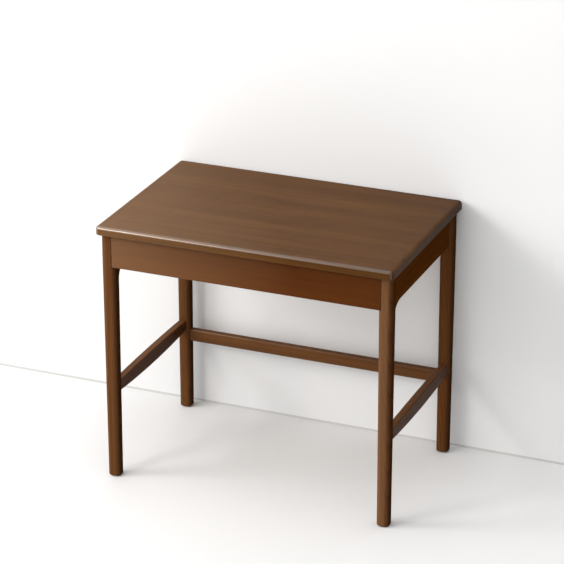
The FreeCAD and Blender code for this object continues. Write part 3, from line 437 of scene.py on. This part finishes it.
# what each wooden piece looks like, by how its name starts; the first that fits counts
FINISHES = (
    ("top_panel", dict(sheen=0.055, roughness=0.4, streaks=0.3, figure=0.25, ring_pitch=0.006, painted_light_and_shade=0.25,
                       scuffs=0.14, **TOP_WALNUT)),
    ("lipping_front", dict(sheen=0.09, roughness=0.34, wear=0.2, painted_light_and_shade=0.22, polish=1.0, **TOP_WALNUT)),
    ("lipping_right", LIPPING),
    ("lipping", dict(LIPPING, polish=0.1)),
    # the legs get different amounts of painted light on their faces turned to the light, and the front right
    # leg gets the most
    ("leg_front_left", dict(LEG, painted_light=0.05)),
    ("leg_front_right", dict(LEG, painted_light=0.21)),
    ("leg_back_left", dict(LEG, painted_light=0.06)),
    ("leg_back_right", dict(LEG, painted_light=0.01)),
    ("drawer_front", dict(sheen=0.05, roughness=0.3, wear=0.4, figure=0.6, painted_light_and_shade=0.35, **RED_WALNUT)),
    ("side_apron", APRON),
    ("back_apron", APRON),
    ("side_stretcher", dict(STRETCHER, polish=0.06)),
    ("back_stretcher", dict(STRETCHER, polish=0.4)),
    ("", dict(roughness=0.62, streaks=0.4, pores=0.3, **BEECH)),
)

# where boards lie in the log: along it, and on both sides of its heart
TOP_SEAT = (0.2, 0.02, 0.085)
LOG_STEP = 0.31
LOG_SHIFT = 0.1
LOG_SIDEWAYS = [0.052 + 0.011 * step for step in range(5)]
LOG_UPWARDS = [0.04 + 0.017 * step for step in range(7)]


def wooden(name, index):
    """A board's wood, with the grain along its longest side and its own place in the log."""
    low, high = (Vector(corner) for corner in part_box(name))
    middle, size = (low + high) / 2, high - low
    along = "xyz"[max(range(3), key=lambda axis: size[axis])]
    seat = (LOG_STEP * index - middle.x * LOG_SHIFT,
            LOG_SIDEWAYS[index % len(LOG_SIDEWAYS)], LOG_UPWARDS[index % len(LOG_UPWARDS)])
    finish = next(settings for start, settings in FINISHES if name.startswith(start))
    if name == "top_panel":
        return wood(name, along, TOP_SEAT, rim=(high.x, high.y), **finish)
    return wood(name, along, seat, **finish)


def dress_table():
    """Give each CAD node a material of its own."""
    for index, name in enumerate(sorted(nodes)):
        if name.startswith("glide"):
            material = plastic(name)
        elif name.endswith("screws"):
            material = steel(name)
        else:
            material = wooden(name, index)
        slots = nodes[name].data.materials
        slots.clear()
        slots.append(material)


dress_table()


# ---------------------------------------------------------------- stage

REACH = 9.0
WALL_Y = 0.272
SEAM_Y = WALL_Y - 0.001
SEAM_HEIGHT = 0.006


def sheet(name, corners, material):
    mesh = bpy.data.meshes.new(name)
    mesh.from_pydata(corners, [], [(0, 1, 2, 3)])
    mesh.materials.append(material)
    piece = bpy.data.objects.new(name, mesh)
    bpy.context.scene.collection.objects.link(piece)
    return piece


def upright(y, height):
    """Corners of a sheet that stands on the floor and faces the front."""
    return [(-REACH, y, 0), (REACH, y, 0), (REACH, y, height), (-REACH, y, height)]


floor = sheet("floor", [(-REACH, -REACH, 0), (REACH, -REACH, 0), (REACH, REACH, 0), (-REACH, REACH, 0)],
              one_sided("floor_paint", ROOM_PAINT, 0.6))
wall = sheet("wall", upright(WALL_Y, REACH), one_sided("wall_paint", ROOM_PAINT, 0.8))
# a thin grey strip at the foot of the wall: a painted shadow line where floor and wall meet
seam = sheet("seam", upright(SEAM_Y, SEAM_HEIGHT), one_sided("seam_shadow", PAINTED_SEAM_SHADOW, 0.9))
far_side = sheet("far_side",
                 [(REACH, -REACH, 0), (REACH, -REACH, REACH), (REACH, REACH, REACH), (REACH, REACH, 0)],
                 one_sided("far_paint", FAR_PAINT, 0.9))


# ---------------------------------------------------------------- camera and light

CAMERA_PLACE = (2.4694, -6.0226, 3.2691)
CAMERA_TILT = 22.855
CAMERA_TURN = 22.273
CAMERA_LENS = 172.4
SENSOR_WIDTH = 36.0

# how bright the room is on each side
ROOM_FROM_FRONT = 1.05
ROOM_FROM_LEFT = 1.6
ROOM_FROM_ABOVE = 1.15

AIM = (0, 0, 0.4)
WHITE = (1.0, 1.0, 1.0)
WARM = (1.0, 0.9, 0.8)

# name, place, side of the square in metres, watts, colour
LAMPS = (
    ("window", (-3.0, -1.6, 2.4), 1.0, 56, WHITE),
    ("front_panel", (-4.0, -5.0, 3.0), 3.0, 70, WHITE),
    ("overhead", (0.1, -0.3, 3.2), 0.9, 12, WHITE),
    ("edge_lamp", (-1.5, -2.3, 2.05), 0.5, 20, WARM),
)


def make_camera():
    data = bpy.data.cameras.new("camera")
    data.sensor_width = SENSOR_WIDTH
    data.lens = CAMERA_LENS
    camera = bpy.data.objects.new("camera", data)
    camera.location = CAMERA_PLACE
    camera.rotation_euler = (math.radians(90 - CAMERA_TILT), 0, math.radians(CAMERA_TURN))
    bpy.context.scene.collection.objects.link(camera)
    bpy.context.scene.camera = camera


def area_light(name, place, side, power, colour):
    data = bpy.data.lights.new(name, "AREA")
    data.shape = "RECTANGLE"
    data.size = data.size_y = side
    data.energy = power
    data.color = colour
    lamp = bpy.data.objects.new(name, data)
    lamp.location = place
    lamp.rotation_euler = (Vector(AIM) - Vector(place)).to_track_quat("-Z", "Y").to_euler()
    bpy.context.scene.collection.objects.link(lamp)


def make_world():
    """Soft room light from the left, from above and from the front."""
    world = bpy.data.worlds.new("world")
    world.use_nodes = True
    bpy.context.scene.world = world
    t = Tree(world)
    direction = t.add("TexCoord").outputs["Generated"]

    def glow(towards, strength):
        return t.times(t.math("MAXIMUM", t.dot(direction, towards), 0.0), strength)

    strength = t.plus(glow((-1, 0, 0), ROOM_FROM_LEFT), glow((0, 0, 1), ROOM_FROM_ABOVE))
    strength = t.plus(strength, glow((0, -1, 0), ROOM_FROM_FRONT))
    background = world.node_tree.nodes["Background"]
    background.inputs["Color"].default_value = WHITE + (1.0,)
    t.feed(background, "Strength", strength)


make_camera()
for lamp_settings in LAMPS:
    area_light(*lamp_settings)
make_world()
bpy.context.scene.view_settings.view_transform = "Standard"
